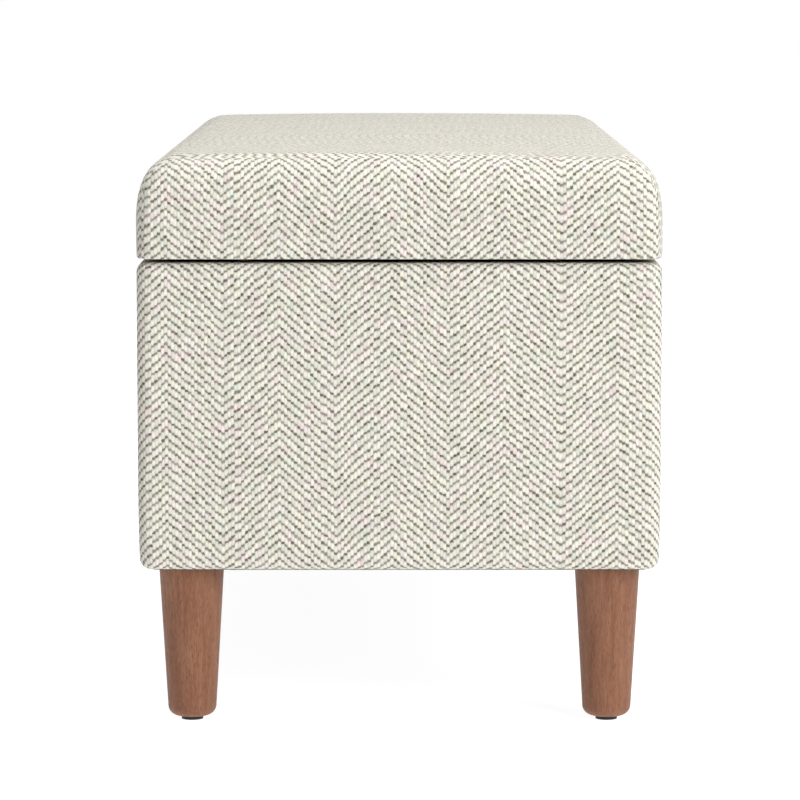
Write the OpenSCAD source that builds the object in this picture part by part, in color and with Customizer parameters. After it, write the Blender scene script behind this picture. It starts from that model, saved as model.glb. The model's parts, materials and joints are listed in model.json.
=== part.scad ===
// Storage bench ottoman.
// An upholstered box on four turned legs, with a cushioned lid on two butt
// hinges along the back edge and two gas struts that hold the lid open.
// Frame: +X along the length, -Y the opening side, +Y the hinge side, +Z up.
// The origin is on the floor, under the middle of the body.

/* [Body] */
// Length of the upholstered body
body_l = 902; // [800:1:1000]
// Width of the upholstered body
body_w = 406; // [380:1:440]
// Height of the underside of the body above the floor
body_low = 123; // [110:1:150]
// Height of the rim that the lid closes onto
rim_z = 362; // [330:1:380]
// Plan radius of the upright corners
corner_r = 12; // [9:0.5:16]
// Radius of the soft edge round the rim
rim_edge_r = 7; // [4:0.5:8]
// Radius of the soft edge round the underside
low_edge_r = 8; // [4:0.5:8]

/* [Lid] */
// Gap between the rim and the underside of the closed lid
lid_gap = 3; // [3:0.1:5]
// Thickness of the lid at the middle
lid_t = 81; // [60:1:100]
// Rise of the cushion from its ends to its middle
lid_crown_l = 2; // [2:0.5:8]
// Rise of the cushion from its long edges to its middle
lid_crown_w = 2.5; // [1:0.5:5]
// Radius of the roll round the top of the cushion
lid_roll_r = 30; // [20:1:38]
// Radius of the soft edge round the underside of the lid
lid_low_r = 3; // [3:0.5:6]
// Angle that the lid opens to
lid_open_deg = 85; // [60:1:88]

/* [Materials] */
// Thickness of the upholstery fabric
fabric_t = 1.6; // [1:0.1:2]
// Thickness of the padding between the fabric and the panels
pad_t = 6.4; // [5:0.1:8]
// Thickness of the side panels and of the lid board
panel_t = 15; // [12:0.5:18]
// Thickness of the floor panel
floor_t = 6; // [5:0.5:9]
// Thickness of the lining inside the box
lining_t = 1; // [0.8:0.1:1.2]
// Thickness of the woven dust covers
dust_t = 0.8; // [0.6:0.1:1]
// Depth of the rails and corner blocks under the floor
rail_h = 18; // [15:1:22]

/* [Legs] */
// Distance of a leg's axis from the faces of the body
leg_inset = 40; // [38:0.5:48]
// Diameter of a leg at its top
leg_top_d = 51; // [44:1:56]
// Diameter of a leg at its foot
leg_foot_d = 38; // [30:1:42]
// Radius of the round at the foot of a leg
leg_foot_r = 8; // [4:0.5:9]
// Diameter of the glide under a leg
glide_d = 17; // [14:1:20]
// Thickness of the glide that shows under the leg
glide_t = 3; // [2:0.5:4]

/* [Hinges] */
// Distance of each hinge from the middle of the back
hinge_x = 270; // [200:5:330]
// Length of each hinge
hinge_l = 63; // [50:1:76]
// Number of knuckles, body and lid together
knuckles = 5; // [3:2:7]
// Gap between neighbouring knuckles
knuckle_gap = 0.3; // [0.2:0.1:0.5]
// Outer diameter of the knuckles
knuckle_d = 6.5; // [6:0.1:6.8]
// Diameter of the hinge pin
hinge_pin_d = 3.2; // [2.5:0.1:3.4]
// Thickness of a hinge leaf
leaf_t = 1.4; // [1.2:0.1:1.4]
// Width of a hinge leaf, from the axis
leaf_w = 29; // [26:0.5:32]

/* [Gas struts] */
// Distance from the hinge axis to both ends of a strut
strut_r = 180; // [175:1:185]
// Angle at the hinge axis between the ends when the lid is closed
strut_angle = 70; // [70:0.5:72]
// Depth of the lid's strut pivot below the hinge axis
strut_drop = 12; // [11:0.5:14]
// Distance of the middle of a strut from the end lining
strut_off = 15; // [14:0.5:18]
// Diameter of the strut's tube
tube_d = 15; // [13:0.5:15]
// Diameter of the strut's rod
rod_d = 6; // [5:0.5:7]

/* [Hidden] */

$fn = 64;
// Overshoot of a cutting shape past the face that it cuts
eps = 1;
// Clearance round a fastener in its hole
fit = 0.05;
// Clearance between the parts of a strut that slide or turn on each other
slide = 0.3;

// Half sizes of the body, from the outside inwards
half_l = body_l / 2;
half_w = body_w / 2;
skin_l = half_l - fabric_t;
skin_w = half_w - fabric_t;
panel_l = skin_l - pad_t;
panel_w = skin_w - pad_t;
room_l = panel_l - panel_t;
room_w = panel_w - panel_t;
store_l = room_l - lining_t;
store_w = room_w - lining_t;

// Heights of the body's layers
panel_low = body_low + fabric_t;
panel_high = rim_z - fabric_t;
floor_low = panel_low + rail_h;
floor_high = floor_low + floor_t;
store_low = floor_high + lining_t;
dust_low = body_low - dust_t;

// Heights of the lid's layers
lid_low = rim_z + lid_gap;
cushion_low = lid_low + dust_t;
board_low = cushion_low + fabric_t;
board_high = board_low + panel_t;
lid_top = lid_low + lid_t;

// Steps of the arcs in the cushion's section: soft lower edges, roll and crown
low_steps = 4;
roll_steps = 8;
crown_steps = 12;

// Width of the fabric turned under the body and under the lid
turn_under = 35;
lid_turn_under = 45;
// Inset of the dust covers from the faces of the body
dust_inset = 12;

// Rails, blocks and brace under the floor
rail_w = 18;
block_w = 75;
brace_w = 40;

// Bumpers: distance from the middle of the ends, and diameters at the rim and at the lid
bumper_y = 120;
bumper_low_d = 9;
bumper_high_d = 11;

// Staples: crown, wire and depth
staple_l = 10;
staple_wire = 0.7;
staple_depth = 6;
// Number of staples along each long side, and along each end of the body and of the lid
row_count_l = 12;
body_row_count_w = 6;
lid_row_count_w = 5;
// How much of each long side and of each end a row of the lid's staples covers
lid_row_share_l = 0.94;
lid_row_share_w = 0.8;
// Inset of the lid's staples from the edges of the board, at the ends and along the sides
lid_staple_inset_l = 8;
lid_staple_inset_w = 24;

// Legs
leg_x = half_l - leg_inset;
leg_y = half_w - leg_inset;
leg_high = dust_low;
// Distance along a row from a leg's axis to the middle of the nearest staple
leg_clear = leg_top_d / 2 + staple_l;
bolt_d = 8;
bolt_in_leg = 42;
tee_d = 22;
tee_t = 1.6;
tee_barrel_d = 10;
tee_barrel_h = 14;
glide_stem_d = 5;
glide_stem_h = 14;

// Hinge axis, just clear of the back
axis_gap = 0.25;
axis_y = half_w + knuckle_d / 2 + axis_gap;
axis_z = rim_z + lid_gap / 2;
knuckle_l = (hinge_l - (knuckles - 1) * knuckle_gap) / knuckles;
hinge_bore_d = hinge_pin_d + 2 * fit;
leaf_screw_y = panel_w - panel_t / 2;
leaf_screw_pitch = 21;
// Drop of a leaf's screw heads below its face
leaf_screw_sink = 0.1;
// Length of the pin that shows at each end of a hinge
pin_proud = 0.5;

// Wood screws: shank, head and the cross recess in the head
screw_d = 3.5;
screw_head_d = 6.8;
screw_head_h = 1.9;
recess_l = 4;
recess_w = 0.9;
recess_h = 1.3;
recess_turn = 20;
// Lengths of the screws
panel_screw_l = 40;
rail_screw_l = 30;
body_leaf_screw_l = 18;
lid_leaf_screw_l = 16;
box_bracket_screw_l = 14;
lid_bracket_screw_l = 15;
// Distance of the outer panel screws from the edges of the panels
panel_screw_edge = 30;
// Spacing of the screws along the long rails, and from the middle of the end rails
rail_screw_pitch = 140;
end_rail_screw_y = 60;

// Strut pivots: P on the lid and Q on the box, both strut_r from the hinge axis
drop_angle = asin(strut_drop / strut_r);
pivot_lid = [axis_y - strut_r * cos(drop_angle), axis_z - strut_r * sin(drop_angle)];
box_angle = drop_angle + strut_angle;
pivot_box = [axis_y - strut_r * cos(box_angle), axis_z - strut_r * sin(box_angle)];
strut_x = store_l - strut_off;
strut_closed = 2 * strut_r * sin(strut_angle / 2);
strut_open = 2 * strut_r * sin((strut_angle + lid_open_deg) / 2);
strut_dir = (pivot_lid - pivot_box) / strut_closed;
strut_tilt = atan2(-strut_dir[0], strut_dir[1]);
stud_d = 8;
stud_head_d = 11;
stud_head_t = 1.6;
eye_d = 15;
eye_t = 10;
neck_d = 9;
plate_t = 2;
// Plate of the bracket on the box, and its screws above and below the pivot
box_plate_w = 24;
box_plate_h = 56;
box_screw_z = 18;
// Plate and tab of the bracket on the lid, and its screws from the pivot
lid_plate_w = 28;
lid_plate_l = 48;
tab_w = 18;
tab_gap = 4;
lid_screw_x = -6;
lid_screw_y = 16;
// Lengths along the strut, from the pivot of the piece that they belong to
tube_from = 12;
tube_wall = 1.2;
tube_floor = 4;
guide_t = 8;
piston_t = 8;
rod_from = 8;
socket_l = 12;
// Room left under the piston with the lid closed, and over it with the lid open
room_closed = 4;
room_open = 3;
rod_to = strut_closed - tube_from - tube_floor - room_closed;
tube_to = strut_open - rod_to + piston_t + room_open + guide_t;

// ---------- Shared shapes ----------

// Section of a soft edge: a strip as deep as "reach", its two outer corners rounded
module edge_section(reach, low, high, low_r, high_r) {
    difference() {
        translate([0, low]) square([reach, high - low]);
        translate([reach - high_r, high - high_r]) difference() {
            square(high_r + eps);
            circle(high_r);
        }
        translate([reach - low_r, low + low_r]) mirror([0, 1]) difference() {
            square(low_r + eps);
            circle(low_r);
        }
    }
}

// Block with rounded upright corners and soft edges at the top and bottom
module soft_block(hl, hw, low, high, r, low_r, high_r) {
    core_l = hl - r;
    core_w = hw - r;
    translate([-core_l, -core_w, low]) cube([2 * core_l, 2 * core_w, high - low]);
    for (side = [0, 180]) {
        rotate([0, 0, side]) translate([0, core_w, 0]) rotate([90, 0, 90])
            linear_extrude(2 * core_l, center = true) edge_section(r, low, high, low_r, high_r);
        rotate([0, 0, side - 90]) translate([0, core_l, 0]) rotate([90, 0, 90])
            linear_extrude(2 * core_w, center = true) edge_section(r, low, high, low_r, high_r);
    }
    for (mx = [0, 1], my = [0, 1])
        mirror([mx, 0, 0]) mirror([0, my, 0]) translate([core_l, core_w, 0])
            rotate_extrude(angle = 90) edge_section(r, low, high, low_r, high_r);
}

// Plate or prism with rounded upright corners
module rounded_prism(hl, hw, low, high, r) {
    translate([-(hl - r), -hw, low]) cube([2 * (hl - r), 2 * hw, high - low]);
    translate([-hl, -(hw - r), low]) cube([2 * hl, 2 * (hw - r), high - low]);
    for (sx = [-1, 1], sy = [-1, 1])
        translate([sx * (hl - r), sy * (hw - r), low]) cylinder(h = high - low, r = r);
}

// Box given by its half sizes and heights, centred on the origin
module slab(hl, hw, low, high) {
    translate([-hl, -hw, low]) cube([2 * hl, 2 * hw, high - low]);
}

// Countersunk wood screw along +Z, its head flush with z = 0 and cross-recessed.
// With "grow" it is the hole for the screw.
module wood_screw(length, grow = 0) {
    shank_d = screw_d + 2 * grow;
    head_slope = (screw_head_d - screw_d) / screw_head_h;
    difference() {
        union() {
            cylinder(h = length + grow, d = shank_d);
            translate([0, 0, -grow])
                cylinder(h = screw_head_h + grow, d1 = screw_head_d + (2 + head_slope) * grow, d2 = shank_d);
        }
        if (grow == 0) for (turn = [0, 90])
            rotate([0, 0, turn + recess_turn]) cube([recess_l, recess_w, 2 * recess_h], center = true);
    }
}

// Wire staple with its crown under z = 0 and its legs up into the wood
module staple(turn, grow = 0) {
    wire = staple_wire;
    rotate([0, 0, turn]) {
        if (grow == 0) translate([-staple_l / 2, -wire / 2, -wire]) cube([staple_l, wire, wire]);
        for (s = [-1, 1])
            translate([s * (staple_l - wire) / 2 - wire / 2 - grow, -wire / 2 - grow, -grow])
                cube([wire + 2 * grow, wire + 2 * grow, staple_depth + 2 * grow]);
    }
}

// Staples round a rectangle of half sizes hl and hw, its rows running "reach_l" and "reach_w"
// from their middles, with "count_w" staples along each end
module staple_ring(hl, hw, reach_l, reach_w, count_w, z, grow = 0) {
    for (i = [0 : row_count_l - 1], s = [-1, 1])
        translate([reach_l * (2 * i / (row_count_l - 1) - 1), s * hw, z]) staple(0, grow);
    for (i = [0 : count_w - 1], s = [-1, 1])
        translate([s * hl, reach_w * (2 * i / (count_w - 1) - 1), z]) staple(90, grow);
}

// Staples under the body, in rows that stop short of the legs
module body_staple_ring(grow = 0) {
    staple_ring(panel_l - panel_t / 2, panel_w - panel_t / 2,
        leg_x - leg_clear, leg_y - leg_clear, body_row_count_w, dust_low, grow);
}

module lid_staple_ring(grow = 0) {
    hl = panel_l - lid_staple_inset_l;
    hw = panel_w - lid_staple_inset_w;
    staple_ring(hl, hw, lid_row_share_l * hl, lid_row_share_w * hw, lid_row_count_w, lid_low, grow);
}

// ---------- Box ----------

// Screws through the long panels into the ends of the end panels
module panel_screw_set(grow = 0) {
    middle = (panel_low + panel_high) / 2;
    reach = (panel_high - panel_low) / 2 - panel_screw_edge;
    for (sx = [-1, 1], sy = [-1, 1], i = [-1 : 1])
        translate([sx * (panel_l - panel_t / 2), sy * panel_w, middle + i * reach])
            rotate([sy * 90, 0, 0]) wood_screw(panel_screw_l, grow);
}

// Screws through the rails into the panels
module rail_screw_set(grow = 0) {
    z = panel_low + rail_h / 2;
    for (sy = [-1, 1], i = [-2 : 2])
        translate([i * rail_screw_pitch, sy * (room_w - rail_w), z])
            rotate([-sy * 90, 0, 0]) wood_screw(rail_screw_l, grow);
    for (sx = [-1, 1], i = [-1, 1])
        translate([sx * (room_l - rail_w), i * end_rail_screw_y, z])
            rotate([0, sx * 90, 0]) wood_screw(rail_screw_l, grow);
}

// Screws of the hinges' body leaves, heads up
module body_leaf_screw_set(grow = 0) {
    for (sx = [-1, 1], i = [-1 : 1])
        translate([sx * hinge_x + i * leaf_screw_pitch, leaf_screw_y, axis_z - leaf_screw_sink])
            rotate([180, 0, 0]) wood_screw(body_leaf_screw_l, grow);
}

// Screws of the struts' brackets on the end panels
module box_bracket_screw_set(grow = 0) {
    for (sx = [-1, 1], s = [-1, 1])
        translate([sx * (store_l - plate_t), pivot_box[0], pivot_box[1] + s * box_screw_z])
            rotate([0, sx * 90, 0]) wood_screw(box_bracket_screw_l, grow);
}

// A long panel, on the side that "side" gives: -1 front, 1 back
module long_panel(side) {
    difference() {
        intersection() {
            rounded_prism(panel_l, panel_w, panel_low, panel_high, corner_r - fabric_t - pad_t);
            translate([-panel_l, side > 0 ? room_w : -panel_w, panel_low])
                cube([2 * panel_l, panel_t, panel_high - panel_low]);
        }
        panel_screw_set(fit);
        rail_screw_set(fit);
        body_staple_ring(fit);
        if (side > 0) body_leaf_screw_set(fit);
    }
}

// An end panel, held between the long ones: -1 left, 1 right
module end_panel(side) {
    difference() {
        translate([side > 0 ? room_l : -panel_l, -room_w, panel_low])
            cube([panel_t, 2 * room_w, panel_high - panel_low]);
        panel_screw_set(fit);
        rail_screw_set(fit);
        body_staple_ring(fit);
        box_bracket_screw_set(fit);
    }
}

module front_panel() {
    color("burlywood") long_panel(-1);
}

module back_panel() {
    color("burlywood") long_panel(1);
}

module left_end_panel() {
    color("burlywood") end_panel(-1);
}

module right_end_panel() {
    color("burlywood") end_panel(1);
}

module floor_panel() {
    color("tan") slab(room_l, room_w, floor_low, floor_high);
}

// Four rails between the corner blocks
module floor_rails() {
    color("wheat") difference() {
        union() {
            for (s = [-1, 1]) {
                translate([-(room_l - block_w), s > 0 ? room_w - rail_w : -room_w, panel_low])
                    cube([2 * (room_l - block_w), rail_w, rail_h]);
                translate([s > 0 ? room_l - rail_w : -room_l, -(room_w - block_w), panel_low])
                    cube([rail_w, 2 * (room_w - block_w), rail_h]);
            }
        }
        rail_screw_set(fit);
    }
}

module cross_brace() {
    color("wheat") slab(brace_w / 2, room_w - rail_w, panel_low, floor_low);
}

// Blocks that take the legs, chamfered on their inner corner
module corner_blocks() {
    chamfer = 28;
    color("wheat") for (mx = [0, 1], my = [0, 1])
        mirror([mx, 0, 0]) mirror([0, my, 0]) difference() {
            translate([room_l, room_w, panel_low]) linear_extrude(rail_h) polygon([
                [0, 0], [-block_w, 0], [-block_w, -block_w + chamfer],
                [-block_w + chamfer, -block_w], [0, -block_w]
            ]);
            translate([leg_x, leg_y, panel_low - eps])
                cylinder(h = rail_h + 2 * eps, d = tee_barrel_d + 2 * fit);
            translate([leg_x, leg_y, floor_low - tee_t - fit])
                cylinder(h = tee_t + eps, d = tee_d + 2 * fit);
        }
}

// Body of the box as a solid block, drawn in by "inset" from the outer face of the fabric
module body_form(inset) {
    soft_block(half_l - inset, half_w - inset, body_low + inset, rim_z - inset,
        corner_r - inset, low_edge_r - inset, rim_edge_r - inset);
}

// Padding over one long side, running round the corners
module long_padding(side) {
    difference() {
        body_form(fabric_t);
        slab(half_l, panel_w, panel_low - eps, panel_high + eps);
        translate([0, -side * half_w, 0]) slab(half_l, half_w, panel_low - eps, panel_high + eps);
    }
}

// Padding over one end, between the pieces on the long sides
module end_padding(side) {
    intersection() {
        body_form(fabric_t);
        translate([side > 0 ? panel_l : -skin_l, -panel_w, panel_low])
            cube([pad_t, 2 * panel_w, panel_high - panel_low]);
    }
}

module front_padding() {
    color("white") long_padding(-1);
}

module back_padding() {
    color("white") long_padding(1);
}

module left_end_padding() {
    color("white") end_padding(-1);
}

module right_end_padding() {
    color("white") end_padding(1);
}

// Fabric round the body, over the rim and turned under
module body_cover() {
    color("linen") difference() {
        body_form(0);
        body_form(fabric_t);
        slab(store_l, store_w, panel_high - eps, rim_z + eps);
        slab(half_l - turn_under, half_w - turn_under, body_low - eps, panel_low + eps);
        body_staple_ring(fit);
        body_leaf_screw_set(fit);
    }
}

module lining_walls() {
    color("dimgray") difference() {
        slab(room_l, room_w, floor_high, panel_high);
        slab(store_l, store_w, floor_high - eps, panel_high + eps);
        box_bracket_screw_set(fit);
    }
}

module lining_floor() {
    color("dimgray") slab(store_l, store_w, floor_high, store_low);
}

module body_dust_cover() {
    color("black") difference() {
        slab(half_l - dust_inset, half_w - dust_inset, dust_low, body_low);
        for (sx = [-1, 1], sy = [-1, 1])
            translate([sx * leg_x, sy * leg_y, dust_low - eps])
                cylinder(h = dust_t + 2 * eps, d = bolt_d + 2 * fit);
        body_staple_ring(fit);
    }
}

module panel_screws() {
    color("goldenrod") panel_screw_set();
}

module rail_screws() {
    color("goldenrod") rail_screw_set();
}

module body_staples() {
    color("silver") body_staple_ring();
}

// ---------- Legs ----------

// Repeats its children at the four legs' axes
module at_legs() {
    for (sx = [-1, 1], sy = [-1, 1]) translate([sx * leg_x, sy * leg_y, 0]) children();
}

module tee_nuts() {
    color("silver") at_legs() difference() {
        union() {
            translate([0, 0, floor_low - tee_t]) cylinder(h = tee_t, d = tee_d);
            translate([0, 0, floor_low - tee_barrel_h]) cylinder(h = tee_barrel_h, d = tee_barrel_d);
        }
        translate([0, 0, panel_low - eps]) cylinder(h = rail_h + 2 * eps, d = bolt_d + 2 * fit);
    }
}

module hanger_bolts() {
    color("silver") at_legs() translate([0, 0, leg_high - bolt_in_leg])
        cylinder(h = floor_low - leg_high + bolt_in_leg, d = bolt_d);
}

// Turned leg: a taper with a rounded foot, bored for its bolt and its glide
module leg(sx, sy) {
    sole = leg_foot_d / 2 - leg_foot_r;
    round_z = glide_t + leg_foot_r;
    translate([sx * leg_x, sy * leg_y, 0]) difference() {
        rotate_extrude() union() {
            polygon([
                [0, round_z], [leg_foot_d / 2, round_z],
                [leg_top_d / 2, leg_high], [0, leg_high]
            ]);
            translate([0, glide_t]) square([sole, leg_foot_r]);
            intersection() {
                translate([sole, round_z]) circle(leg_foot_r);
                translate([sole, glide_t]) square(leg_foot_r);
            }
        }
        translate([0, 0, leg_high - bolt_in_leg - fit])
            cylinder(h = bolt_in_leg + eps, d = bolt_d + 2 * fit);
        cylinder(h = glide_t + glide_stem_h + fit, d = glide_stem_d + 2 * fit);
    }
}

// Nylon glide with a stem up into the leg
module glide(sx, sy) {
    translate([sx * leg_x, sy * leg_y, 0]) {
        cylinder(h = glide_t, d = glide_d);
        cylinder(h = glide_t + glide_stem_h, d = glide_stem_d);
    }
}

module leg_front_left() {
    color("sienna") leg(-1, -1);
}

module leg_front_right() {
    color("sienna") leg(1, -1);
}

module leg_back_left() {
    color("sienna") leg(-1, 1);
}

module leg_back_right() {
    color("sienna") leg(1, 1);
}

module glide_front_left() {
    color("black") glide(-1, -1);
}

module glide_front_right() {
    color("black") glide(1, -1);
}

module glide_back_left() {
    color("black") glide(-1, 1);
}

module glide_back_right() {
    color("black") glide(1, 1);
}

// ---------- Hinges ----------

// Leaf of one hinge. The body's leaf owns the odd knuckles and the lid's the even ones.
module hinge_leaf(first, low) {
    clear_y = axis_y - knuckle_d / 2 - slide;
    pitch = knuckle_l + knuckle_gap;
    difference() {
        union() {
            translate([-hinge_l / 2, axis_y - leaf_w, low])
                cube([hinge_l, clear_y - axis_y + leaf_w, leaf_t]);
            for (k = [first : 2 : knuckles - 1]) translate([k * pitch - hinge_l / 2, 0, 0]) {
                translate([0, clear_y - eps, low]) cube([knuckle_l, axis_y - clear_y + eps, leaf_t]);
                translate([0, axis_y, axis_z]) rotate([0, 90, 0]) cylinder(h = knuckle_l, d = knuckle_d);
            }
        }
        translate([-hinge_l / 2 - eps, axis_y, axis_z]) rotate([0, 90, 0])
            cylinder(h = hinge_l + 2 * eps, d = hinge_bore_d);
    }
}

module body_leaf(side) {
    difference() {
        translate([side * hinge_x, 0, 0]) hinge_leaf(0, rim_z);
        body_leaf_screw_set(fit);
    }
}

module lid_leaf(side) {
    difference() {
        translate([side * hinge_x, 0, 0]) hinge_leaf(1, lid_low - leaf_t);
        lid_leaf_screw_set(fit);
    }
}

module hinge_pin(side) {
    translate([side * hinge_x - hinge_l / 2 - pin_proud, axis_y, axis_z]) rotate([0, 90, 0])
        cylinder(h = hinge_l + 2 * pin_proud, d = hinge_pin_d);
}

module hinge_left_body_leaf() {
    color("silver") body_leaf(-1);
}

module hinge_right_body_leaf() {
    color("silver") body_leaf(1);
}

module hinge_left_pin() {
    color("gray") hinge_pin(-1);
}

module hinge_right_pin() {
    color("gray") hinge_pin(1);
}

module hinge_body_screws() {
    color("silver") body_leaf_screw_set();
}

module hinge_left_lid_leaf() {
    color("silver") lid_leaf(-1);
}

module hinge_right_lid_leaf() {
    color("silver") lid_leaf(1);
}

module hinge_lid_screws() {
    color("silver") lid_leaf_screw_set();
}

// ---------- Lid ----------

// Screws of the hinges' lid leaves, heads down
module lid_leaf_screw_set(grow = 0) {
    for (sx = [-1, 1], i = [-1 : 1])
        translate([sx * hinge_x + i * leaf_screw_pitch, leaf_screw_y, axis_z + leaf_screw_sink])
            wood_screw(lid_leaf_screw_l, grow);
}

// Screws of the struts' brackets under the lid
module lid_bracket_screw_set(grow = 0) {
    for (sx = [-1, 1], s = [-1, 1])
        translate([sx * (strut_x + lid_screw_x), pivot_lid[0] + s * lid_screw_y, lid_low - plate_t])
            wood_screw(lid_bracket_screw_l, grow);
}

// Points of an arc round "centre" from angle "from" to angle "to", in "steps" equal steps
function arc(centre, r, from, to, steps) =
    [for (i = [0 : steps]) let (a = from + (to - from) * i / steps) centre + r * [cos(a), sin(a)]];

// Section of the cushion: soft lower edges, a wide roll at the top and a crowned top
module cushion_section(half, low, top, crown, low_r, roll_r) {
    flat = half - roll_r;
    edge = top - crown;
    crown_r = (flat * flat + crown * crown) / (2 * crown);
    crown_half = asin(flat / crown_r);
    polygon(concat(
        arc([half - low_r, low + low_r], low_r, -90, 0, low_steps),
        arc([flat, edge - roll_r], roll_r, 0, 90, roll_steps),
        arc([0, top - crown_r], crown_r, 90 - crown_half, 90 + crown_half, crown_steps),
        arc([-flat, edge - roll_r], roll_r, 90, 180, roll_steps),
        arc([-(half - low_r), low + low_r], low_r, 180, 270, low_steps)
    ));
}

// Cushion of the lid, drawn in by "inset" from its outer surface
module cushion(inset) {
    low = cushion_low + inset;
    top = lid_top - inset;
    low_r = lid_low_r - inset;
    roll_r = lid_roll_r - inset;
    intersection() {
        rotate([90, 0, 90]) linear_extrude(body_l, center = true)
            cushion_section(half_w - inset, low, top, lid_crown_w, low_r, roll_r);
        rotate([90, 0, 0]) linear_extrude(body_w, center = true)
            cushion_section(half_l - inset, low, top, lid_crown_l, low_r, roll_r);
        rounded_prism(half_l - inset, half_w - inset, low - eps, lid_top + eps, corner_r - inset);
    }
}

module lid_board() {
    color("tan") difference() {
        rounded_prism(panel_l, panel_w, board_low, board_high, corner_r - fabric_t - pad_t);
        lid_leaf_screw_set(fit);
        lid_bracket_screw_set(fit);
        lid_staple_ring(fit);
    }
}

// Foam over the board, with a lip down round the board's edge
module lid_foam() {
    color("white") difference() {
        cushion(fabric_t);
        rounded_prism(panel_l, panel_w, board_low - eps, board_high, corner_r - fabric_t - pad_t);
    }
}

// Fabric over the cushion, turned under the board
module lid_cover() {
    color("linen") difference() {
        cushion(0);
        cushion(fabric_t);
        slab(half_l - lid_turn_under, half_w - lid_turn_under, cushion_low - eps, board_low + eps);
        lid_leaf_screw_set(fit);
        lid_bracket_screw_set(fit);
        lid_staple_ring(fit);
    }
}

module lid_dust_cover() {
    color("dimgray") difference() {
        slab(half_l - dust_inset, half_w - dust_inset, lid_low, cushion_low);
        lid_leaf_screw_set(fit);
        lid_bracket_screw_set(fit);
        lid_staple_ring(fit);
    }
}

module lid_staples() {
    color("silver") lid_staple_ring();
}

// Rubber bumpers that land on the rim
module lid_bumpers() {
    color("black") for (sx = [-1, 1], sy = [-1, 1])
        translate([sx * (panel_l - panel_t / 2), sy * bumper_y, rim_z + 2 * fit])
            cylinder(h = lid_gap - 2 * fit, d1 = bumper_low_d, d2 = bumper_high_d);
}

// ---------- Gas struts ----------

// Puts its children at a strut's pivot, +X outwards
module at_pivot(side, pivot) {
    mirror([side < 0 ? 1 : 0, 0, 0]) translate([strut_x, pivot[0], pivot[1]]) children();
}

// Stud along X from x = root, through an eye and to a head on the inner side
module stud(root) {
    head_x = -eye_t / 2 - slide;
    translate([head_x, 0, 0]) rotate([0, 90, 0]) cylinder(h = root - head_x, d = stud_d);
    translate([head_x - stud_head_t, 0, 0]) rotate([0, 90, 0]) cylinder(h = stud_head_t, d = stud_head_d);
    translate([eye_t / 2 + slide, 0, 0]) rotate([0, 90, 0])
        cylinder(h = root - eye_t / 2 - slide, d = stud_head_d);
}

module box_bracket(side) {
    difference() {
        at_pivot(side, pivot_box) {
            translate([strut_off - plate_t, -box_plate_w / 2, -box_plate_h / 2])
                cube([plate_t, box_plate_w, box_plate_h]);
            stud(strut_off - plate_t);
        }
        box_bracket_screw_set(fit);
    }
}

module lid_bracket(side) {
    tab_x = eye_t / 2 + tab_gap;
    top = lid_low - pivot_lid[1];
    difference() {
        at_pivot(side, pivot_lid) {
            translate([tab_x - lid_plate_w, -lid_plate_l / 2, top - plate_t])
                cube([lid_plate_w, lid_plate_l, plate_t]);
            translate([tab_x - plate_t, -tab_w / 2, 0]) cube([plate_t, tab_w, top]);
            translate([tab_x - plate_t, 0, 0]) rotate([0, 90, 0]) cylinder(h = plate_t, d = tab_w);
            stud(tab_x - plate_t);
        }
        lid_bracket_screw_set(fit);
    }
}

// Turns its children so that +Z runs along the strut from the box to the lid
module along_strut(side, pivot, flip = 0) {
    at_pivot(side, pivot) rotate([strut_tilt, 0, 0]) rotate([0, flip, 0]) children();
}

// Tube, closed at the box end, with a guide for the rod at the other
module strut_tube(side) {
    inner_d = tube_d - 2 * tube_wall;
    along_strut(side, pivot_box) difference() {
        translate([0, 0, tube_from]) cylinder(h = tube_to - tube_from, d = tube_d);
        translate([0, 0, tube_from + tube_floor])
            cylinder(h = tube_to - guide_t - tube_from - tube_floor, d = inner_d);
        translate([0, 0, tube_to - guide_t - eps]) cylinder(h = guide_t + 2 * eps, d = rod_d + 2 * slide);
    }
}

// Rod with its piston inside the tube
module strut_rod(side) {
    piston_d = tube_d - 2 * tube_wall - 2 * slide;
    along_strut(side, pivot_lid, 180) {
        translate([0, 0, rod_from]) cylinder(h = rod_to - rod_from, d = rod_d);
        translate([0, 0, rod_to - piston_t]) cylinder(h = piston_t, d = piston_d);
    }
}

// Plastic end fitting: an eye on the stud and a socket that reaches to "reach"
module end_fitting(reach) {
    difference() {
        union() {
            rotate([0, 90, 0]) cylinder(h = eye_t, d = eye_d, center = true);
            cylinder(h = reach, d = neck_d);
        }
        rotate([0, 90, 0]) cylinder(h = eye_t + 2 * eps, d = stud_d + 2 * fit, center = true);
    }
}

module tube_end(side) {
    along_strut(side, pivot_box) end_fitting(tube_from);
}

module rod_end(side) {
    along_strut(side, pivot_lid, 180) difference() {
        end_fitting(rod_from + socket_l);
        translate([0, 0, rod_from]) cylinder(h = socket_l + eps, d = rod_d);
    }
}

module strut_left_body_bracket() {
    color("darkgray") box_bracket(-1);
}

module strut_right_body_bracket() {
    color("darkgray") box_bracket(1);
}

module strut_body_screws() {
    color("silver") box_bracket_screw_set();
}

module strut_left_lid_bracket() {
    color("darkgray") lid_bracket(-1);
}

module strut_right_lid_bracket() {
    color("darkgray") lid_bracket(1);
}

module strut_lid_screws() {
    color("silver") lid_bracket_screw_set();
}

module strut_left_tube() {
    color("black") strut_tube(-1);
}

module strut_left_tube_end() {
    color("dimgray") tube_end(-1);
}

module strut_right_tube() {
    color("black") strut_tube(1);
}

module strut_right_tube_end() {
    color("dimgray") tube_end(1);
}

module strut_left_rod() {
    color("gainsboro") strut_rod(-1);
}

module strut_left_rod_end() {
    color("dimgray") rod_end(-1);
}

module strut_right_rod() {
    color("gainsboro") strut_rod(1);
}

module strut_right_rod_end() {
    color("dimgray") rod_end(1);
}

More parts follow.
